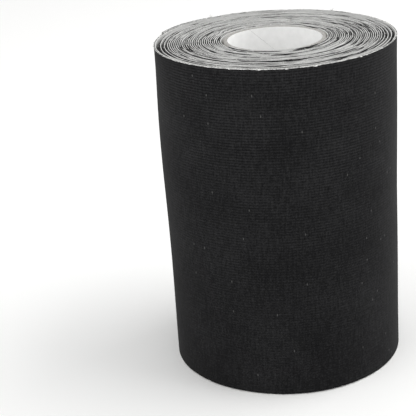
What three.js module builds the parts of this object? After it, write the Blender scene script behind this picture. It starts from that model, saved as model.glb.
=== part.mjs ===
// A roll of wide elastic cotton tape: one long strip and its release liner, wound on a paper core.
// Millimetres, +Z up. The origin is on the core's axis, in the plane the roll stands on.
import * as THREE from "three";

// ---- Driving dimensions ----

// The strip, as cut and wound
const STRIP_WIDTH = 100;
const STRIP_LENGTH = 4850;
const TAPE_THICKNESS = 0.44; // cotton with its adhesive coat
const LINER_THICKNESS = 0.08;
const LAYER_GAP = 0.03; // between the liner and the tape that it carries
const TURN_GAP = 0.05; // between one tight turn and the next
const LOOSE_TURNS = 4; // the outer turns, which have slackened
const LOOSE_GAP = 0.38; // what each slack turn adds to the tight gap
const END_ANGLE = 160; // where the strip ends, in degrees from +X, counted anticlockwise

// The core, a spirally wound paper tube of three plies
const CORE_BORE = 28;
const CORE_RECESS = 0.2; // how far the core's ends lie inside the strip's edges
const INNER_PLY = 0.25;
const BOARD_PLY = 0.55;
const OUTER_PLY = 0.25;
const PLY_GAP = 0.03;
const SEAM_GAP = 0.3; // the slit where a ply's edges meet
const SEAM_RISE = 79; // how far a ply's seam climbs in one turn
const INNER_SEAM_ANGLE = 29; // where the inner ply's seam leaves the bottom, in degrees
const SEAM_STAGGER = 120; // each ply's seam is turned this far from the last one's

// The double-sided tape that holds the first turn on the core
const START_TAPE_WIDTH = 12;
const START_TAPE_THICKNESS = 0.08;
const START_TAPE_MARGIN = 2; // its distance from the core's ends

// The loose end: links that unroll, then a tip whose tape peels off its liner
const LINKS = 6;
const LINK_LENGTH = 9.8;
const PEEL_LINKS = 3;
const PEEL_LINK_LENGTH = 5;
const LAST_PEEL_LENGTH = 12;
const HINGE_SLIT = 0.4; // the clearance between two links
const COAT_THICKNESS = 0.05; // the adhesive that the tip's tape shows when it is peeled
const COAT_MARGIN = 0.8; // bare cotton round the coat

// How finely the round shapes are divided, in degrees
const COARSE_STEP = 15;
const FINE_STEP = 5;
const CORE_STEP = 6;

// ---- Worked out from them ----

const TURN = 2 * Math.PI;
const radians = THREE.MathUtils.degToRad;

const boreRadius = CORE_BORE / 2;
const boardRadius = boreRadius + INNER_PLY + PLY_GAP;
const outerPlyRadius = boardRadius + BOARD_PLY + PLY_GAP;
const coreRadius = outerPlyRadius + OUTER_PLY;
const coreLength = STRIP_WIDTH - 2 * CORE_RECESS;

const startTapeRadius = coreRadius + LAYER_GAP;
// The flat facets of the first turn have to clear the start tape too.
const firstTurnRadius =
  (startTapeRadius + START_TAPE_THICKNESS + LAYER_GAP) / Math.cos(radians(COARSE_STEP / 2));

const stripThickness = LINER_THICKNESS + LAYER_GAP + TAPE_THICKNESS;
const pitch = stripThickness + TURN_GAP;

// The number of turns whose total length is the strip's, from the sum of their circumferences
const meanFirstRadius = firstTurnRadius + stripThickness / 2;
const tightLength = STRIP_LENGTH / TURN - (LOOSE_GAP * LOOSE_TURNS ** 2) / 2;
const turns = (Math.sqrt(meanFirstRadius ** 2 + 2 * pitch * tightLength) - meanFirstRadius) / pitch;

// The radius of the liner's inner face after so many turns
function woundRadius(turn) {
  const slack = Math.max(0, turn - (turns - LOOSE_TURNS));
  return firstTurnRadius + pitch * turn + LOOSE_GAP * slack;
}

// Where that many turns is round the roll, in radians from +X
const angleAt = (turn) => radians(END_ANGLE) - TURN * (turns - turn);

// How many turns a length of strip takes at the outside of the roll
const lengthToTurns = (length) => length / (TURN * woundRadius(turns));

const tapeOffset = LINER_THICKNESS + LAYER_GAP;
const tipLength = (PEEL_LINKS - 1) * PEEL_LINK_LENGTH + LAST_PEEL_LENGTH;
const tipTurn = turns - lengthToTurns(tipLength);
const tailTurn = tipTurn - lengthToTurns(LINKS * LINK_LENGTH);
const linkTurns = lengthToTurns(LINK_LENGTH);
const slitTurns = lengthToTurns(HINGE_SLIT);

// ---- Materials ----

const material = (color, roughness) =>
  new THREE.MeshStandardMaterial({ color, roughness, metalness: 0 });

const cotton = material(0x2b2b2c, 0.95);
const linerPaper = material(0xe6e4de, 0.7);
const whitePaper = material(0xf1f1ef, 0.75);
const greyBoard = material(0xa39c90, 0.9);
const facingPaper = material(0xd6d2ca, 0.85);
const stickyTape = material(0xe3dcc4, 0.35);
const adhesive = material(0x4a4845, 0.3);

// ---- Shapes ----

// A box with one row of steps, bent so that each of its corners goes where place() says.
// place(along, up, out) takes three shares from 0 to 1 and gives [angle, height, radius].
function bentBox(steps, place) {
  const geometry = new THREE.BoxGeometry(1, 1, 1, steps, 1, 1);
  const corners = geometry.getAttribute("position");
  for (let i = 0; i < corners.count; i++) {
    const shares = [corners.getX(i) + 0.5, corners.getY(i) + 0.5, corners.getZ(i) + 0.5];
    const [angle, height, radius] = place(...shares);
    corners.setXYZ(i, radius * Math.cos(angle), radius * Math.sin(angle), height);
  }
  return geometry;
}

// The stretch of one layer of the wound strip between two counts of turns. stops are the counts
// at which its facets meet, offset is the layer's distance from the liner's inner face.
function woundLayer(stops, offset, thickness, margin = 0) {
  const steps = stops.length - 1;
  return bentBox(steps, (along, up, out) => {
    const turn = stops[Math.round(along * steps)];
    const height = margin + up * (STRIP_WIDTH - 2 * margin);
    return [angleAt(turn), height, woundRadius(turn) + offset + out * thickness];
  });
}

// Counts of turns from one to another, at most that many degrees apart
function evenStops(from, to, step) {
  const steps = Math.ceil(((to - from) * 360) / step - 1e-6);
  return Array.from({ length: steps + 1 }, (_, i) => from + ((to - from) * i) / steps);
}

// The wound part's stops: wide inside, and close together on the outer turn, which shows. They
// line up from turn to turn, so the facets of all turns are parallel.
function rollStops() {
  const outerTurn = tailTurn - 1;
  const wide = [];
  for (let turn = outerTurn; turn >= 0; turn -= COARSE_STEP / 360) wide.unshift(turn);
  return [...wide, ...evenStops(outerTurn, tailTurn - slitTurns / 2, FINE_STEP).slice(1)];
}

// One ply of the core: a band wound as a screw, cut off square at both ends of the core. A slit is
// left where its edges meet. The band starts and ends as a point, which is cut blunt.
function corePly(radius, thickness, seamAngle) {
  const rise = SEAM_RISE / TURN;
  const blunt = SEAM_GAP / rise;
  const first = -TURN + 2 * blunt;
  const last = coreLength / rise - 2 * blunt;
  const squareFrom = Math.max(0, coreLength / rise - TURN);
  const squareTo = Math.min(0, coreLength / rise - TURN);
  const kinks = [first, Math.min(0, squareTo), Math.max(0, squareFrom), last];
  const stops = kinks.slice(0, -1).flatMap((from, i) => {
    const steps = Math.max(1, Math.ceil((kinks[i + 1] - from) / radians(CORE_STEP)));
    return Array.from({ length: steps }, (_, k) => from + ((kinks[i + 1] - from) * k) / steps);
  });
  const angles = [...stops, last].filter((angle, i, all) => i === 0 || angle > all[i - 1] + 1e-6);
  const steps = angles.length - 1;
  return bentBox(steps, (along, up, out) => {
    const angle = angles[Math.round(along * steps)];
    const low = Math.max(0, rise * angle + SEAM_GAP / 2);
    const high = Math.min(coreLength, rise * (angle + TURN) - SEAM_GAP / 2);
    return [
      angle + radians(seamAngle),
      CORE_RECESS + low + up * (high - low),
      radius + out * thickness,
    ];
  });
}

// ---- The roll ----

const roll = new THREE.Group();

function add(name, geometry, look) {
  const mesh = new THREE.Mesh(geometry, look);
  mesh.name = name;
  roll.add(mesh);
}

function addCore() {
  const seam = (ply) => INNER_SEAM_ANGLE + ply * SEAM_STAGGER;
  add("core_inner_ply", corePly(boreRadius, INNER_PLY, seam(0)), whitePaper);
  add("core_board_ply", corePly(boardRadius, BOARD_PLY, seam(1)), greyBoard);
  add("core_outer_ply", corePly(outerPlyRadius, OUTER_PLY, seam(2)), facingPaper);
}

function addStartTape() {
  const span = START_TAPE_WIDTH / startTapeRadius;
  const height = coreLength - 2 * START_TAPE_MARGIN;
  const geometry = bentBox(Math.ceil(span / radians(CORE_STEP)), (along, up, out) => [
    angleAt(rollStops()[0]) + along * span,
    CORE_RECESS + START_TAPE_MARGIN + up * height,
    startTapeRadius + out * START_TAPE_THICKNESS,
  ]);
  add("start_tape", geometry, stickyTape);
}

function addWoundStrip() {
  const stops = rollStops();
  add("wound_liner", woundLayer(stops, 0, LINER_THICKNESS), linerPaper);
  add("wound_tape", woundLayer(stops, tapeOffset, TAPE_THICKNESS), cotton);
}

// The links between the wound part and the tip, each with its own stretch of tape and liner
function addTail() {
  for (let link = 1; link <= LINKS; link++) {
    const from = tailTurn + (link - 1) * linkTurns + slitTurns / 2;
    const tapeStops = evenStops(from, from + linkTurns - slitTurns, FINE_STEP);
    add(`tape_link_${link}`, woundLayer(tapeStops, tapeOffset, TAPE_THICKNESS), cotton);
    // The last link carries the liner of the tip as well.
    const to = link < LINKS ? from + linkTurns - slitTurns : turns;
    const linerStops = evenStops(from, to, FINE_STEP);
    add(`liner_link_${link}`, woundLayer(linerStops, 0, LINER_THICKNESS), linerPaper);
  }
}

// The tip's tape, with the adhesive coat on its inner face
function addPeelingTip() {
  const coatGap = LAYER_GAP;
  const cottonOffset = tapeOffset + COAT_THICKNESS + coatGap;
  const cottonThickness = TAPE_THICKNESS - COAT_THICKNESS - coatGap;
  for (let link = 1; link <= PEEL_LINKS; link++) {
    const length = link < PEEL_LINKS ? PEEL_LINK_LENGTH : LAST_PEEL_LENGTH;
    const from = tipTurn + lengthToTurns((link - 1) * PEEL_LINK_LENGTH) + slitTurns / 2;
    const to = link < PEEL_LINKS ? from + lengthToTurns(length) - slitTurns : turns;
    const stops = evenStops(from, to, FINE_STEP);
    add(`tape_tip_${link}`, woundLayer(stops, cottonOffset, cottonThickness), cotton);
    const coat = woundLayer(stops, tapeOffset, COAT_THICKNESS, COAT_MARGIN);
    add(`adhesive_tip_${link}`, coat, adhesive);
  }
}

addCore();
addStartTape();
addWoundStrip();
addTail();
addPeelingTip();

export default roll;
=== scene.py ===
"""The looks of a roll of wide elastic cotton tape, wound on a paper core. Metres, +Z up."""

import math
import random

import bmesh
import bpy
from mathutils import Matrix, Vector, noise


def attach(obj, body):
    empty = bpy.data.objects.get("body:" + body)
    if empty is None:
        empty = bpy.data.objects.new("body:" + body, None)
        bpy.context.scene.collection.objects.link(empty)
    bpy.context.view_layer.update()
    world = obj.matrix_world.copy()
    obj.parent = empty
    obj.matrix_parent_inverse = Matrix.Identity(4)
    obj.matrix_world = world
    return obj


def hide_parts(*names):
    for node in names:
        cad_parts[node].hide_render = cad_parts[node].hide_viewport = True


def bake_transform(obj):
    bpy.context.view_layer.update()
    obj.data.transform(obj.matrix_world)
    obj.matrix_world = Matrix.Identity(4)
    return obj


MM = 0.001
TURN = 2 * math.pi

# ---- The strip, with the sizes of the CAD model ----

STRIP_WIDTH = 100 * MM
STRIP_LENGTH = 4850 * MM
TAPE_THICKNESS = 0.44 * MM
LINER_THICKNESS = 0.08 * MM
LAYER_GAP = 0.03 * MM
TURN_GAP = 0.05 * MM
LOOSE_TURNS = 4
LOOSE_GAP = 0.38 * MM
END_ANGLE = math.radians(160)

LINKS = 6
LINK_LENGTH = 9.8 * MM
PEEL_LINKS = 3
PEEL_LINK_LENGTH = 5 * MM
LAST_PEEL_LENGTH = 12 * MM
COAT_THICKNESS = 0.05 * MM
COAT_MARGIN = 0.8 * MM

# ---- The core ----

CORE_BORE = 28 * MM
CORE_RECESS = 0.2 * MM
INNER_PLY = 0.25 * MM
BOARD_PLY = 0.55 * MM
OUTER_PLY = 0.25 * MM
PLY_GAP = 0.03 * MM
SEAM_GAP = 0.3 * MM
INNER_SEAM_GAP = 0.05 * MM  # the inner ply's edges nearly meet
SEAM_RISE = 79 * MM
INNER_SEAM_ANGLE = math.radians(29)
SEAM_STAGGER = math.radians(120)
START_TAPE_THICKNESS = 0.08 * MM
FIRST_TURN_STEP = math.radians(15)

# ---- What only shows: how the cut edges lie, and the lint on them ----

TAPE_SHRINK = 0.26 * MM  # elastic cotton draws back from its liner's edges
EDGE_WANDER = 0.3 * MM  # how far a turn's edges rise and fall
LONG_WANDER = 70 * MM  # over what lengths of strip they do so
SHORT_WANDER = 14 * MM
LINER_WANDER = 0.14 * MM  # what the liner's edges add of their own
LINER_INSET = 0.05 * MM
FRAY = 0.06 * MM  # the tape's edge is uneven from thread to thread
TAPE_DIP = 0.3 * MM  # how deep the tape's edge sinks in short stretches
LINER_DIP = 0.22 * MM  # and its liner's
DIP_ONSET = 0.12  # the share of the noise under which nothing sinks
RIM_LIFT = 0.3 * MM  # how far the outermost turn stands above the others
LOOSE_SHRINK = 0.3 * MM  # the slack turns under it draw back more
LOWEST_TAPE = 0.02 * MM  # the tape's lower edge stays clear of the floor
LINER_EDGE_THICKNESS = 0.13 * MM  # the liner's cut edge is crushed, and so fills the gaps beside it
SWELL = 0.22 * MM  # the slack turns' hollows and bulges
SWELL_SIZE = 26 * MM
BULGE = 0.85 * MM  # the slack turns stand off the roll most here
BULGE_ANGLE = math.radians(190)
BULGE_HEIGHT = 75 * MM
BULGE_SPREAD = 28 * MM
BULGE_ONSET = 1.5  # slack turns under which nothing bulges
FLARE = 0.4 * MM  # the outermost edge stands out a little, and most here
FLARE_ANGLE = math.radians(230)
FLARE_DEPTH = 5 * MM
LEAST_FLARE = 0.35  # the share of it all round
SUNK_TURNS = (24.02, 25.03, 26.04)  # turns from the strip's end to where its edge is pushed in
SUNK_DEPTH = 2.5 * MM
SUNK_LENGTH = 1.3 * MM
STANDING_TUFTS = (0.1, 0.28, 0.99)  # turns from the strip's end to tufts that stand out of the rim
RIM_FLECKS = (0.57, 0.58, 0.646, 0.681, 0.716, 0.751)  # and to flecks of paper that hang on it

EDGE_TUFTS = 0.5  # tufts and crumbs for each millimetre of cut edge, inside the roll
EDGE_CRUMBS = 0.25
RIM_TUFTS = 5.0  # and on the outermost turn and the loose end, where fingers have brushed it
RIM_CRUMBS = 1.2
UPPER_SHARE = 0.75  # of the tufts, and the rest are on the lower edge
STANDING_FIBRES = 14  # in each tuft that stands out of the rim
FIBRE_RADII = (0.034 * MM, 0.026 * MM, 0.01 * MM)  # of a fibre's root, elbow and tip
ROOT_DEPTH = 0.05 * MM  # how deep a fibre starts in the cloth
TUFT_LENGTH = (0.15 * MM, 0.4 * MM)
CRUMB_SIZE = (0.06 * MM, 0.2 * MM)
LINT_BATCH = 40  # small batches, because adding to a large bmesh is slow

WOUND_STEP = math.radians(2.4)
OUTER_STEP = math.radians(2)
CORE_STEP = math.radians(3)

# ---- The camera ----

CAMERA_DISTANCE = 391.7 * MM
CAMERA_ELEVATION = math.radians(21.54)
CAMERA_PAN = math.radians(-3.34)
CAMERA_ROLL = math.radians(-2.38)
AIM_HEIGHT = 46.94 * MM
LENS = 109.3  # for a 36 mm sensor

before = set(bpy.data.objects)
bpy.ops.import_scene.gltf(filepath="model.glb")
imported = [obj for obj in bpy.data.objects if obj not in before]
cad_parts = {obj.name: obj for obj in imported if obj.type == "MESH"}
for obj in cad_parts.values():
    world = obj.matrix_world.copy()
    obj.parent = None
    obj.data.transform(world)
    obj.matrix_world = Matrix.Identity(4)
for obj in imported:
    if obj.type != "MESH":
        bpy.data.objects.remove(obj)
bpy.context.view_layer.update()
rng = random.Random(7)

# ---- Sizes that follow ----

bore_radius = CORE_BORE / 2
board_radius = bore_radius + INNER_PLY + PLY_GAP
outer_ply_radius = board_radius + BOARD_PLY + PLY_GAP
core_radius = outer_ply_radius + OUTER_PLY
core_length = STRIP_WIDTH - 2 * CORE_RECESS

first_turn_radius = (core_radius + 2 * LAYER_GAP + START_TAPE_THICKNESS) / math.cos(FIRST_TURN_STEP / 2)
strip_thickness = LINER_THICKNESS + LAYER_GAP + TAPE_THICKNESS
pitch = strip_thickness + TURN_GAP
tape_offset = LINER_THICKNESS + LAYER_GAP

mean_first_radius = first_turn_radius + strip_thickness / 2
tight_length = STRIP_LENGTH / TURN - LOOSE_GAP * LOOSE_TURNS**2 / 2
turns = (math.sqrt(mean_first_radius**2 + 2 * pitch * tight_length) - mean_first_radius) / pitch


def slack(turn):
    """How many slack turns lie under this one."""
    return max(0.0, turn - (turns - LOOSE_TURNS))


def wound_radius(turn):
    """The radius of the liner's inner face after so many turns."""
    return first_turn_radius + pitch * turn + LOOSE_GAP * slack(turn)


def angle_at(turn):
    """Where that many turns is round the roll, in radians from +X."""
    return END_ANGLE - TURN * (turns - turn)


def length_at(turn):
    """The length of strip wound by then."""
    return TURN * (mean_first_radius * turn + pitch * turn**2 / 2 + LOOSE_GAP * slack(turn) ** 2 / 2)


def turns_of(length):
    """How many turns a length of strip takes at the outside of the roll."""
    return length / (TURN * wound_radius(turns))


tip_turn = turns - turns_of((PEEL_LINKS - 1) * PEEL_LINK_LENGTH + LAST_PEEL_LENGTH)
tail_turn = tip_turn - turns_of(LINKS * LINK_LENGTH)
outer_turn = tail_turn - 1


def even_stops(start, end, step):
    """Counts of turns from one to another, at most a step in radians apart."""
    steps = math.ceil((end - start) * TURN / step - 1e-6)
    return [start + (end - start) * i / steps for i in range(steps + 1)]


# ---- How the strip lies ----


def ripple(place, size, seed=0.0):
    """Smooth noise from -1 to 1 with lumps of about that size."""
    return noise.noise(Vector(place) / size + Vector((seed, 0.37 * seed, 0.71 * seed)))


def edge_shift(turn):
    """How far the strip stands above its mean height."""
    along = length_at(turn)
    wander = ripple((along, 0, 0), LONG_WANDER) + 0.4 * ripple((along, 0, 0), SHORT_WANDER, 5)
    from_sunk = [(along - length_at(turns - back)) / SUNK_LENGTH for back in SUNK_TURNS]
    sunk = sum(math.exp(-(share**2)) for share in from_sunk)
    return EDGE_WANDER * wander + RIM_LIFT * at_rim(turn) - SUNK_DEPTH * sunk


def at_rim(turn):
    """1 on the outermost turn, rising from 0 in the first sixth of it."""
    return min(1.0, max(0.0, turn - outer_turn) * 6)


def dip(turn, spacing, seed):
    """From 0 to about 1, in short stretches of the strip, where an edge sinks in."""
    return max(0.0, ripple((length_at(turn), 0, 0), spacing, seed) - DIP_ONSET) / 0.4


def strip_point(turn, height, out):
    """Where a point of the strip lies. out is its distance from the liner's inner face."""
    angle = angle_at(turn)
    radius = wound_radius(turn) + out
    looseness = slack(turn) / LOOSE_TURNS
    place = (radius * math.cos(angle), radius * math.sin(angle), height)
    radius += SWELL * looseness * ripple(place, SWELL_SIZE, 2)
    above = (height - BULGE_HEIGHT) / BULGE_SPREAD
    beside = max(0.0, math.cos(angle - BULGE_ANGLE))
    freedom = min(1.0, max(0.0, slack(turn) - BULGE_ONSET) / BULGE_ONSET)
    radius += BULGE * beside**2 * math.exp(-above * above) * freedom
    if turn > outer_turn:
        near_edge = math.exp(-(STRIP_WIDTH - height) / FLARE_DEPTH)
        lift = LEAST_FLARE + (1 - LEAST_FLARE) * max(0.0, math.cos(angle - FLARE_ANGLE))
        radius += FLARE * near_edge * lift * at_rim(turn)
    return Vector((radius * math.cos(angle), radius * math.sin(angle), height))


def tape_edges(turn):
    """The heights of the tape's two edges."""
    shift = edge_shift(turn)
    fray = FRAY * ripple((length_at(turn), 9, 0), 2.5 * MM, 3)
    fray -= TAPE_DIP * dip(turn, 8 * MM, 11) * (1 - 0.8 * at_rim(turn))
    shrink = TAPE_SHRINK / 2 + LOOSE_SHRINK * slack(turn) / LOOSE_TURNS * (1 - at_rim(turn))
    return max(LOWEST_TAPE, shrink + shift), STRIP_WIDTH - shrink + shift + fray


def liner_edges(turn):
    """The heights of the liner's two edges."""
    shift = 0.8 * edge_shift(turn) + LINER_WANDER * ripple((length_at(turn), 3, 0), 30 * MM, 8)
    high = STRIP_WIDTH - LINER_INSET + shift - LINER_DIP * dip(turn, 7 * MM, 21)
    return max(0.0, LINER_INSET + shift), high


# ---- Nodes and materials ----


def linear(hex_colour):
    """A linear colour from an sRGB hex value such as 0x202020."""
    channels = [(hex_colour >> shift & 255) / 255 for shift in (16, 8, 0)]
    return [c / 12.92 if c <= 0.04045 else ((c + 0.055) / 1.055) ** 2.4 for c in channels] + [1.0]


def connect(tree, node, inputs):
    """Sets a node's inputs to values, to other nodes' outputs, or to the first output of nodes."""
    for name, value in inputs.items():
        source = value.outputs[0] if isinstance(value, bpy.types.Node) else value
        if isinstance(source, bpy.types.NodeSocket):
            tree.links.new(source, node.inputs[name])
        else:
            node.inputs[name].default_value = source


def add_node(tree, kind, inputs, stops=(), **settings):
    """Adds a node with its inputs and settings. stops are a colour ramp's positions and colours."""
    node = tree.nodes.new("ShaderNode" + kind)
    for name, value in settings.items():
        setattr(node, name, value)
    connect(tree, node, inputs)
    for i, (position, colour) in enumerate(stops):
        elements = node.color_ramp.elements
        element = elements[i] if i < 2 else elements.new(position)
        element.position = position
        element.color = linear(colour)
    return node


def new_material(name, values):
    """A material with one Principled shader, some of whose inputs have these values."""
    material = bpy.data.materials.new(name)
    material.use_nodes = True
    shader = material.node_tree.nodes["Principled BSDF"]
    connect(material.node_tree, shader, values)
    return material, material.node_tree, shader


def wave_scale(spacing):
    """The scale at which a wave pattern repeats every so many millimetres."""
    return math.pi / (10 * spacing)


def woven_cotton():
    """Black cotton cloth woven on an elastic warp: matt, with faint ribs along the strip that
    handling has worn flat lower down, and with stray light lint on it."""
    matt = {"Roughness": 0.95, "Specular IOR Level": 0.08, "Sheen Weight": 0.03, "Sheen Roughness": 0.5}
    material, tree, shader = new_material("elastic_woven_cotton", matt)
    place = add_node(tree, "UVMap", {}, uv_map="strip")
    # The warp threads lie in ribs 0.82 mm apart, and the weft threads cross them every 0.45 mm.
    warp = {"Vector": place, "Scale": wave_scale(0.82), "Distortion": 1.2, "Detail Scale": 0.6}
    weft = {"Vector": place, "Scale": wave_scale(0.45), "Distortion": 2.0, "Detail Scale": 1.0}
    ribs = add_node(tree, "TexWave", warp, bands_direction="Y").outputs["Fac"]
    picks = add_node(tree, "TexWave", weft, bands_direction="X").outputs["Fac"]
    across = add_node(tree, "SeparateXYZ", {"Vector": place}).outputs["Y"]
    # The ribs show in patches, five times as clearly at the upper edge as at the lower one.
    worn = add_node(tree, "Math", {0: across, 1: 0.008, 2: 0.2}, operation="MULTIPLY_ADD")
    patches = add_node(tree, "TexNoise", {"Vector": place, "Scale": 1 / 14, "Detail": 2.0})
    clear = add_node(tree, "Math", {0: patches, 1: worn}, operation="MULTIPLY")
    clear_ribs = add_node(tree, "Math", {0: ribs, 1: clear}, operation="MULTIPLY")
    faint_ribs = add_node(tree, "Math", {0: clear_ribs, 1: 0.36}, operation="MULTIPLY")
    weave = add_node(tree, "Math", {0: picks, 1: 0.06, 2: faint_ribs}, operation="MULTIPLY_ADD")

    # Uneven yarn streaks the cloth both ways, and its fuzz gives it a fine grain.
    along_warp = add_node(tree, "VectorMath", {0: place, 1: (0.5, 1, 1)}, operation="MULTIPLY")
    along_weft = add_node(tree, "VectorMath", {0: place, 1: (1, 0.15, 1)}, operation="MULTIPLY")
    warp_yarn = add_node(tree, "TexNoise", {"Vector": along_warp, "Scale": 1 / 0.9, "Detail": 4.0})
    weft_yarn = add_node(tree, "TexNoise", {"Vector": along_weft, "Scale": 1 / 0.7, "Detail": 3.0})
    fuzz_grain = add_node(tree, "TexNoise", {"Vector": place, "Scale": 1 / 0.5, "Detail": 3.0})
    height = weave
    for pattern, share in ((fuzz_grain, 0.7), (warp_yarn, 0.2925), (weft_yarn, 0.3575)):
        height = add_node(tree, "Math", {0: pattern, 1: share, 2: height}, operation="MULTIPLY_ADD")

    clouds = add_node(tree, "TexNoise", {"Vector": place, "Scale": 1 / 18, "Detail": 3.0})
    uneven = add_node(tree, "Math", {0: clouds, 1: 0.3, 2: height}, operation="MULTIPLY_ADD")
    shade = add_node(tree, "Math", {0: uneven, 1: 0.6}, operation="MULTIPLY")
    blacks = [(0.35, 0x0C0C0D), (0.5, 0x161617), (0.7, 0x2D2D2E)]
    cloth = add_node(tree, "ValToRGB", {"Fac": shade}, blacks)

    # Lint: one cell of 2 mm by 5 mm in twenty holds a short light thread.
    stretched = add_node(tree, "VectorMath", {0: place, 1: (1, 0.45, 1)}, operation="MULTIPLY")
    cells = add_node(tree, "TexVoronoi", {"Vector": stretched, "Scale": 0.45}, voronoi_dimensions="2D")
    kind = add_node(tree, "SeparateColor", {"Color": cells.outputs["Color"]})
    near = add_node(tree, "Math", {0: cells.outputs["Distance"], 1: 0.075}, operation="LESS_THAN")
    chosen = add_node(tree, "Math", {0: kind, 1: 0.95}, operation="GREATER_THAN")
    thread = add_node(tree, "Math", {0: near, 1: chosen}, operation="MULTIPLY")
    amount = add_node(tree, "Math", {0: thread, 1: 0.22}, operation="MULTIPLY")
    mixed = {"Fac": amount, "Color1": cloth, "Color2": linear(0x8C8C8A)}
    colour = add_node(tree, "MixRGB", mixed)
    relief = add_node(tree, "Bump", {"Height": height, "Distance": 0.07 * MM, "Strength": 0.6})
    connect(tree, shader, {"Base Color": colour, "Normal": relief})
    return material


def cut_cotton(name, light, middle, dark, front_painted_light=0.0):
    """The strip's cut edge: thread ends fray out of it and catch the light, with dark gaps between.
    The last argument is painted light: how much lighter the edge is painted towards the front (-Y)."""
    material, tree, shader = new_material(name, {"Roughness": 1.0, "Specular IOR Level": 0.1})
    place = add_node(tree, "UVMap", {}, uv_map="strip")
    along = add_node(tree, "VectorMath", {0: place, 1: (1, 0, 0)}, operation="MULTIPLY")
    streaks = add_node(tree, "TexNoise", {"Vector": along, "Scale": 1 / 2.5, "Detail": 2.0})
    stretches = add_node(tree, "TexNoise", {"Vector": along, "Scale": 1 / 18, "Detail": 2.0})
    in_space = add_node(tree, "TexCoord", {}).outputs["Object"]
    tufts = add_node(tree, "TexNoise", {"Vector": in_space, "Scale": 1 / 0.35 / MM, "Detail": 4.0})
    # Painted light: the edge is painted lighter towards the front (-Y) of the roll.
    depth = add_node(tree, "SeparateXYZ", {"Vector": in_space}).outputs["Y"]
    shade = add_node(tree, "Math", {0: depth, 1: -front_painted_light / MM}, operation="MULTIPLY")
    for pattern, share in ((streaks, 0.45), (stretches, 0.5), (tufts, 0.35)):
        shade = add_node(tree, "Math", {0: pattern, 1: share, 2: shade}, operation="MULTIPLY_ADD")
    colour = add_node(tree, "ValToRGB", {"Fac": shade}, [(0.5, dark), (0.65, middle), (0.85, light)])
    relief = add_node(tree, "Bump", {"Height": tufts, "Distance": 0.2 * MM})
    connect(tree, shader, {"Base Color": colour, "Normal": relief})
    return material


def liner_paper():
    """Siliconised release paper: smooth and slightly glossy, off-white, with fibres along it."""
    material, tree, shader = new_material("siliconised_release_paper", {"Roughness": 0.42})
    place = add_node(tree, "UVMap", {}, uv_map="strip")
    stretched = add_node(tree, "VectorMath", {0: place, 1: (0.4, 1, 1)}, operation="MULTIPLY")
    fibres = add_node(tree, "TexNoise", {"Vector": stretched, "Scale": 1 / 0.8, "Detail": 4.0})
    colour = add_node(tree, "ValToRGB", {"Fac": fibres}, [(0.3, 0xDADAD8), (0.7, 0xE6E6E4)])
    relief = add_node(tree, "Bump", {"Height": fibres, "Distance": 0.01 * MM})
    connect(tree, shader, {"Base Color": colour, "Normal": relief})
    return material


def core_paper(name, light, dark, grain, roughness):
    """Paper or board of the core: rolled flat, matt, with fibres that give it a faint mottle whose
    lumps are so many millimetres across."""
    material, tree, shader = new_material(name, {"Roughness": roughness})
    place = add_node(tree, "TexCoord", {}).outputs["Object"]
    fibres = add_node(tree, "TexNoise", {"Vector": place, "Scale": 1 / grain / MM, "Detail": 5.0})
    colour = add_node(tree, "ValToRGB", {"Fac": fibres}, [(0.3, dark), (0.7, light)])
    relief = add_node(tree, "Bump", {"Height": fibres, "Distance": 0.03 * MM})
    connect(tree, shader, {"Base Color": colour, "Normal": relief})
    return material


def acrylic_adhesive():
    """Acrylic adhesive coated on the cotton in waves: glossy, and dark because the cloth shows
    through it."""
    glossy = {"Roughness": 0.28, "IOR": 1.47}
    material, tree, shader = new_material("wave_coated_acrylic_adhesive", glossy)
    place = add_node(tree, "UVMap", {}, uv_map="strip")
    along = add_node(tree, "SeparateXYZ", {"Vector": place})
    # Each wave is 13 mm long and swings 1.6 mm to each side, and the waves lie 4.5 mm apart.
    turned = add_node(tree, "Math", {0: along, 1: TURN / 13}, operation="MULTIPLY")
    swing = add_node(tree, "Math", {0: turned}, operation="SINE")
    swung = add_node(tree, "Math", {0: swing, 1: 1.6}, operation="MULTIPLY")
    sideways = add_node(tree, "CombineXYZ", {"Y": swung})
    waved = add_node(tree, "VectorMath", {0: place, 1: sideways}, operation="ADD")
    comb = {"Vector": waved, "Scale": wave_scale(4.5), "Distortion": 0.6, "Detail Scale": 0.5}
    waves = add_node(tree, "TexWave", comb, bands_direction="Y").outputs["Fac"]
    colour = add_node(tree, "ValToRGB", {"Fac": waves}, [(0.25, 0x2A2A2A), (0.6, 0x454442)])
    relief = add_node(tree, "Bump", {"Height": waves, "Distance": 0.08 * MM})
    connect(tree, shader, {"Base Color": colour, "Normal": relief})
    return material


def sticky_film():
    """Double-sided tape: a yellowish film with glue, slightly glossy."""
    material, tree, shader = new_material("double_sided_tape", {"Roughness": 0.35})
    place = add_node(tree, "TexCoord", {}).outputs["Object"]
    glue = add_node(tree, "TexNoise", {"Vector": place, "Scale": 1 / 3 / MM, "Detail": 3.0})
    colour = add_node(tree, "ValToRGB", {"Fac": glue}, [(0.3, 0xD8D0B4), (0.7, 0xE8E2CB)])
    connect(tree, shader, {"Base Color": colour})
    return material


def lint_fibre():
    """Loose cotton and paper fibres: pale grey, matt, no two quite alike."""
    matt = {"Roughness": 1.0, "Specular IOR Level": 0.1}
    material, tree, shader = new_material("cotton_lint", matt)
    place = add_node(tree, "TexCoord", {}).outputs["Object"]
    kinds = add_node(tree, "TexNoise", {"Vector": place, "Scale": 1 / 0.8 / MM, "Detail": 1.0})
    colour = add_node(tree, "ValToRGB", {"Fac": kinds}, [(0.35, 0x70706F), (0.55, 0xE6E6E3)])
    connect(tree, shader, {"Base Color": colour})
    return material


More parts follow.
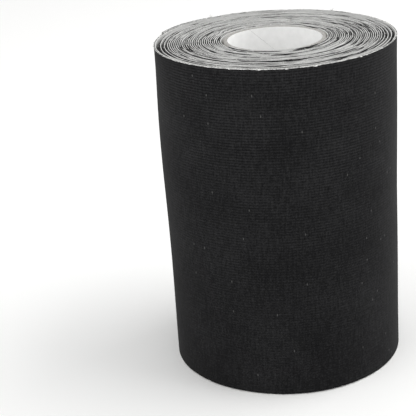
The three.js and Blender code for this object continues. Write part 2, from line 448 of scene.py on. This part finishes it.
COTTON = woven_cotton()
CUT_EDGE = cut_cotton("frayed_cotton_edge", 0x848483, 0x2A2A2A, 0x0C0C0C)
# The outermost turn's cut edge, painted lighter towards the roll's front: painted light.
RIM_EDGE = cut_cotton("frayed_cotton_rim_painted_front_light", 0xF0F0EE, 0x6E6E6D, 0x141414, 0.004)
LINER = liner_paper()
LINER_EDGE = core_paper("release_paper_cut_edge", 0xFAFAF8, 0xDCDCDA, 0.5, 0.9)
WHITE_PAPER = core_paper("white_core_paper", 0xFCFCFB, 0xF4F4F3, 2.0, 0.75)
# The core's cut edges are mottled grey, much darker than its white inner paper.
CORE_EDGE = core_paper("dark_grey_core_paper_edge", 0xC8C6C2, 0x6C6A66, 0.3, 0.95)
GREY_BOARD = core_paper("grey_core_board", 0x6A6863, 0x3A3835, 0.3, 0.95)
FACING_PAPER = core_paper("grey_white_core_paper", 0xD0CEC9, 0xA8A6A1, 0.4, 0.85)
ADHESIVE = acrylic_adhesive()
STICKY_FILM = sticky_film()
LINT = lint_fibre()


# ---- Making pieces ----


def piece(name, mesh_maker, *materials):
    """A new object whose mesh is what mesh_maker does to an empty bmesh."""
    bm = bmesh.new()
    mesh_maker(bm)
    mesh = bpy.data.meshes.new(name)
    bm.to_mesh(mesh)
    bm.free()
    for material in materials:
        mesh.materials.append(material)
    made = bpy.data.objects.new(name, mesh)
    bpy.context.scene.collection.objects.link(made)
    return made


def bent_grid(columns, rows, place, uv):
    """Makes a flat grid and puts the vertex of each column and row where place() says. uv() gives
    its place on the flat strip, in millimetres."""

    def make(bm):
        bmesh.ops.create_grid(bm, x_segments=columns, y_segments=rows, size=0.5)
        layer = bm.loops.layers.uv.new("strip")
        cell = {}
        for vertex in bm.verts:
            column = round((vertex.co.x + 0.5) * columns)
            row = round((vertex.co.y + 0.5) * rows)
            cell[vertex] = (column, row)
            vertex.co = place(column, row)
        for face in bm.faces:
            face.smooth = True
            for loop in face.loops:
                loop[layer].uv = uv(*cell[loop.vert])
        for edge in bm.edges:
            edge.smooth = not edge.is_boundary

    return make


def thicken(made, thickness):
    """Gives a sheet its thickness, outwards, with the next material on its cut edges."""
    wall = made.modifiers.new("thickness", "SOLIDIFY")
    wall.thickness = thickness
    wall.offset = 1
    wall.material_offset_rim = 1
    return made


def layer_sheet(name, stops, rows, edges, offset, thickness, *materials, margin=0.0):
    """A stretch of one layer of the strip. rows are the distances of its rows of vertices from
    the lower edge, or, where they are negative, from the upper one."""

    def height(turn, row):
        low, high = edges(turn)
        return low + margin + rows[row] if rows[row] >= 0 else high - margin + rows[row]

    def place(column, row):
        turn = stops[column]
        return strip_point(turn, height(turn, row), offset)

    def uv(column, row):
        turn = stops[column]
        return length_at(turn) / MM, height(turn, row) / MM

    made = piece(name, bent_grid(len(stops) - 1, len(rows) - 1, place, uv), *materials)
    return thicken(made, thickness)


TOP = -1e-9  # the row on the upper edge itself
EDGE_ROWS = [0, 1.5 * MM, 30 * MM, -30 * MM, -1.5 * MM, TOP]
BODY_ROWS = (
    [0, 1 * MM]
    + [h * MM for h in range(3, 50, 4)]
    + [-h * MM for h in range(47, 2, -4)]
    + [-1 * MM, TOP]
)


def tape_layer(name, stops, rows, rim=CUT_EDGE):
    """A stretch of the tape, in cotton with the rim's finish on its cut edges."""
    return layer_sheet(name, stops, rows, tape_edges, tape_offset, TAPE_THICKNESS, COTTON, rim)


def liner_layer(name, stops, rows, thickness=LINER_THICKNESS):
    """A stretch of the liner. What it is thicker than the real paper lies half on each side."""
    inner = (LINER_THICKNESS - thickness) / 2
    return layer_sheet(name, stops, rows, liner_edges, inner, thickness, LINER, LINER_EDGE)


def append(bm, small):
    """Adds a small bmesh to a large one, and frees it."""
    mesh = bpy.data.meshes.new("batch")
    small.to_mesh(mesh)
    small.free()
    bm.from_mesh(mesh)
    bpy.data.meshes.remove(mesh)


def strand(bm, start, end, thick, thin):
    """A straight stretch of fibre that thins out."""
    along = end - start
    turned = Matrix.Translation((start + end) / 2) @ along.to_track_quat("Z", "Y").to_matrix().to_4x4()
    bmesh.ops.create_cone(
        bm, cap_ends=True, segments=3, radius1=thick, radius2=thin, depth=along.length, matrix=turned
    )


def fuzz(name, start, end, tufts_per_mm, crumbs_per_mm):
    """What stands out of the tape's cut edges between two counts of turns: tufts of bent fibres,
    most of which lie along the edge, crumbs of cotton and paper, and, on the rim, the few standing
    tufts and hanging flecks."""

    def root(at_top, turn):
        """A place on a cut edge, and the directions along it, outwards and away from the cloth."""
        low, high = tape_edges(turn)
        out = tape_offset + TAPE_THICKNESS * rng.uniform(0.05, 1.05)
        around = angle_at(turn)
        axes = [
            Vector((-math.sin(around), math.cos(around), 0)),
            Vector((math.cos(around), math.sin(around), 0)),
            Vector((0, 0, 1 if at_top else -1)),
        ]
        height = high - ROOT_DEPTH if at_top else low + ROOT_DEPTH
        return strip_point(turn, height, out), axes

    def tuft(bm, turn, standing=False):
        """One to three bent fibres that lie nearly flat, or a thick tuft that stands up."""
        at_top = standing or rng.random() < UPPER_SHARE
        place, (along, outwards, up) = root(at_top, turn)
        for _ in range(STANDING_FIBRES if standing else rng.choice([1, 1, 2, 3])):
            rise = rng.uniform(0.5, 1.0) if standing else rng.uniform(0.05, 0.4)
            if not at_top:
                rise = 0.02
            lean = along * rng.uniform(-1, 1) + outwards * rng.uniform(-0.5, 0.5) + up * rise
            length = rng.uniform(*TUFT_LENGTH) * (2 if standing else 1)
            elbow = place + lean.normalized() * length
            droop = lean + along * rng.uniform(-1, 1) + outwards * rng.uniform(-0.8, 0.8)
            droop.z *= 0.3
            tip = elbow + droop.normalized() * length * 0.8
            strand(bm, place, elbow, *FIBRE_RADII[:2])
            strand(bm, elbow, tip, *FIBRE_RADII[1:])

    def crumb(bm, turn):
        """A crumb of cotton or paper that lies on the upper edge."""
        place, axes = root(True, turn)
        size = rng.uniform(*CRUMB_SIZE)
        shape = Matrix.Diagonal((size, size * rng.uniform(0.4, 1), size * rng.uniform(0.3, 0.7), 1))
        turned = Matrix.Rotation(rng.uniform(0, TURN), 4, "Z")
        placed = Matrix.Translation(place + axes[2] * ROOT_DEPTH) @ turned @ shape
        bmesh.ops.create_icosphere(bm, subdivisions=1, radius=1, matrix=placed)

    def fleck(bm, turn):
        """A flat fleck of paper that hangs on the outside of the upper edge."""
        outside = tape_offset + TAPE_THICKNESS + 0.05 * MM
        place = strip_point(turn, tape_edges(turn)[1], outside)
        shape = Matrix.Diagonal((0.12 * MM, rng.uniform(0.4, 0.9) * MM, 0.25 * MM, 1))
        placed = Matrix.Translation(place) @ Matrix.Rotation(angle_at(turn), 4, "Z") @ shape
        bmesh.ops.create_icosphere(bm, subdivisions=1, radius=1, matrix=placed)

    def make(bm):
        span = (length_at(end) - length_at(start)) / MM
        makers = [tuft] * int(span * tufts_per_mm) + [crumb] * int(span * crumbs_per_mm)
        for first in range(0, len(makers), LINT_BATCH):
            small = bmesh.new()
            for add in makers[first : first + LINT_BATCH]:
                add(small, rng.uniform(start, end))
            append(bm, small)
        small = bmesh.new()
        for turn in (turns - back for back in STANDING_TUFTS):
            if start <= turn < end:
                tuft(small, turn, standing=True)
        for turn in (turns - back for back in RIM_FLECKS):
            if start <= turn < end:
                fleck(small, turn)
        append(bm, small)

    return piece(name, make, LINT)


# ---- The core ----


def core_ply(name, radius, thickness, seam_angle, seam_gap, *materials):
    """One ply: a band wound as a screw and cut off square at both ends, with a slit at its seam."""
    rise = SEAM_RISE / TURN
    blunt = seam_gap / rise
    first = -TURN + 2 * blunt
    last = core_length / rise - 2 * blunt
    kinks = [first, 0.0, core_length / rise - TURN, last]
    angles = [first]
    for start, end in zip(kinks, kinks[1:]):
        steps = max(1, math.ceil((end - start) / CORE_STEP))
        angles += [start + (end - start) * (i + 1) / steps for i in range(steps)]
    rows = 3

    def place(column, row):
        angle = angles[column]
        low = max(0.0, rise * angle + seam_gap / 2)
        high = min(core_length, rise * (angle + TURN) - seam_gap / 2)
        around = angle + seam_angle
        height = CORE_RECESS + low + (high - low) * row / rows
        return Vector((radius * math.cos(around), radius * math.sin(around), height))

    def uv(column, row):
        return angles[column] * radius / MM, place(column, row).z / MM

    made = piece(name, bent_grid(len(angles) - 1, rows, place, uv), *materials)
    return thicken(made, thickness)


def make_core():
    """The three plies, and the finish of the start tape, which keeps the CAD model's mesh."""
    plies = [
        ("core_inner_ply", bore_radius, INNER_PLY, INNER_SEAM_GAP, WHITE_PAPER),
        ("core_board_ply", board_radius, BOARD_PLY, SEAM_GAP, GREY_BOARD),
        ("core_outer_ply", outer_ply_radius, OUTER_PLY, SEAM_GAP, FACING_PAPER),
    ]
    made = []
    for i, (node, radius, thickness, seam_gap, paper) in enumerate(plies):
        seam = INNER_SEAM_ANGLE + i * SEAM_STAGGER
        name = node.replace("core", "core_paper")
        ply = core_ply(name, radius, thickness, seam, seam_gap, paper, CORE_EDGE)
        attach(ply, "roll")
        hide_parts(node)
        made.append(ply)
    start_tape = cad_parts["start_tape"]
    start_tape.data.materials.clear()
    start_tape.data.materials.append(STICKY_FILM)
    return made


# ---- The wound strip ----


def make_wound_strip():
    """The turns that stay wound. The outermost turn of tape is a piece of its own, made finer."""
    inner = even_stops(0, outer_turn, WOUND_STEP)
    outer = even_stops(outer_turn, tail_turn, OUTER_STEP)
    tape = tape_layer("wound_cotton", inner, EDGE_ROWS)
    cover = tape_layer("outer_turn_cotton", outer, BODY_ROWS, RIM_EDGE)
    liner = liner_layer("wound_release_paper", inner + outer[1:], EDGE_ROWS, LINER_EDGE_THICKNESS)
    lint = fuzz("edge_lint", 0, outer_turn, EDGE_TUFTS, EDGE_CRUMBS)
    rim_lint = fuzz("rim_lint", outer_turn, tail_turn, RIM_TUFTS, RIM_CRUMBS)
    for made in (tape, cover, liner, lint, rim_lint):
        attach(made, "roll")
    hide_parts("wound_tape")
    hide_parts("wound_liner")
    return tape, cover, liner


# ---- The loose end ----


def bend_at(made, start_turn, end_turn):
    """Bakes a piece's transform into its mesh. The strip's middle at the two places where it should
    turn from one body to the next is worked out, but not used.
    """
    start = strip_point(start_turn, STRIP_WIDTH / 2, strip_thickness / 2)
    end = strip_point(end_turn, STRIP_WIDTH / 2, strip_thickness / 2)
    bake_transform(made)


def make_tail():
    """The loose end: a stretch of tape, liner and lint for each link, in place of the CAD model's
    links, and the liner's last stretch, which rides on the last link's body.
    """
    link_turns = turns_of(LINK_LENGTH)
    for link in range(1, LINKS + 1):
        start = tail_turn + (link - 1) * link_turns
        end = start + link_turns
        stops = even_stops(start, end, OUTER_STEP)
        tape = tape_layer(f"loose_cotton_{link}", stops, BODY_ROWS, RIM_EDGE)
        liner = liner_layer(f"loose_release_paper_{link}", stops, BODY_ROWS)
        lint = fuzz(f"loose_lint_{link}", start, end, RIM_TUFTS, RIM_CRUMBS)
        for made in (tape, liner, lint):
            bend_at(made, start, end)
        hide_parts(f"tape_link_{link}")
        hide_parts(f"liner_link_{link}")
    end_stops = even_stops(tip_turn, turns, OUTER_STEP)
    end_liner = liner_layer("loose_release_paper_end", end_stops, BODY_ROWS)
    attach(end_liner, f"tail_{LINKS}")


def make_tip():
    """The last stretch of tape, with its adhesive coat: a piece of cloth, one of adhesive and one of
    lint for each link of the tip.
    """
    hinge_turns = turns_of(PEEL_LINK_LENGTH)
    for link in range(1, PEEL_LINKS + 1):
        start = tip_turn + (link - 1) * hinge_turns
        bend_end = start + hinge_turns
        end = bend_end if link < PEEL_LINKS else turns
        stops = even_stops(start, end, OUTER_STEP)
        cloth = layer_sheet(
            f"tip_cotton_{link}",
            stops,
            BODY_ROWS,
            tape_edges,
            tape_offset + COAT_THICKNESS,
            TAPE_THICKNESS - COAT_THICKNESS,
            COTTON,
            RIM_EDGE,
        )
        coat = layer_sheet(
            f"tip_adhesive_{link}",
            stops,
            BODY_ROWS,
            tape_edges,
            tape_offset,
            COAT_THICKNESS,
            ADHESIVE,
            ADHESIVE,
            margin=COAT_MARGIN,
        )
        lint = fuzz(f"tip_lint_{link}", start, end, RIM_TUFTS, RIM_CRUMBS)
        for part in (cloth, coat, lint):
            bend_at(part, start, bend_end)
        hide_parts(f"tape_tip_{link}")
        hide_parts(f"adhesive_tip_{link}")


# ---- Floor, lights and camera ----


def make_stage():
    """A plain pale floor under an even white sky."""

    def plane(bm):
        bmesh.ops.create_grid(bm, x_segments=1, y_segments=1, size=4)

    white = {"Base Color": linear(0xFCFCFB), "Roughness": 0.9, "Specular IOR Level": 0.1}
    piece("floor", plane, new_material("pale_floor", white)[0])

    world = bpy.data.worlds.new("studio")
    bpy.context.scene.world = world
    world.use_nodes = True
    daylight = {"Color": linear(0xFFFFFF), "Strength": 0.8}
    connect(world.node_tree, world.node_tree.nodes["Background"], daylight)


def area_light(name, place, size, power):
    """A soft square light that faces the middle of the roll."""
    light = bpy.data.lights.new(name, "AREA")
    light.size = size
    light.energy = power
    made = bpy.data.objects.new(name, light)
    bpy.context.scene.collection.objects.link(made)
    made.location = place
    facing = Vector((0, 0, STRIP_WIDTH / 2)) - made.location
    made.rotation_euler = facing.to_track_quat("-Z", "Y").to_euler()


def make_camera():
    """In front of the roll and a little above it, turned so that the roll stands right of centre."""
    data = bpy.data.cameras.new("camera")
    data.lens = LENS
    camera = bpy.data.objects.new("camera", data)
    bpy.context.scene.collection.objects.link(camera)
    bpy.context.scene.camera = camera
    tilt = Matrix.Rotation(math.pi / 2 - CAMERA_ELEVATION, 4, "X")
    pan = Matrix.Rotation(CAMERA_PAN, 4, "Y")
    roll = Matrix.Rotation(CAMERA_ROLL, 4, "Z")
    back = Vector((0, -math.cos(CAMERA_ELEVATION), math.sin(CAMERA_ELEVATION)))
    place = Vector((0, 0, AIM_HEIGHT)) + back * CAMERA_DISTANCE
    camera.matrix_world = Matrix.Translation(place) @ tilt @ pan.inverted() @ roll


make_camera()
make_stage()
area_light("key", (0.5, -0.05, 0.8), 0.5, 2.6)
area_light("fill", (-0.6, -0.5, 0.5), 0.7, 1.5)
area_light("rim", (0.7, 0.45, 0.3), 0.4, 1.9)
bpy.context.scene.view_settings.view_transform = "Standard"

core = make_core()
wound_cotton, outer_cotton, wound_paper = make_wound_strip()
make_tail()
make_tip()
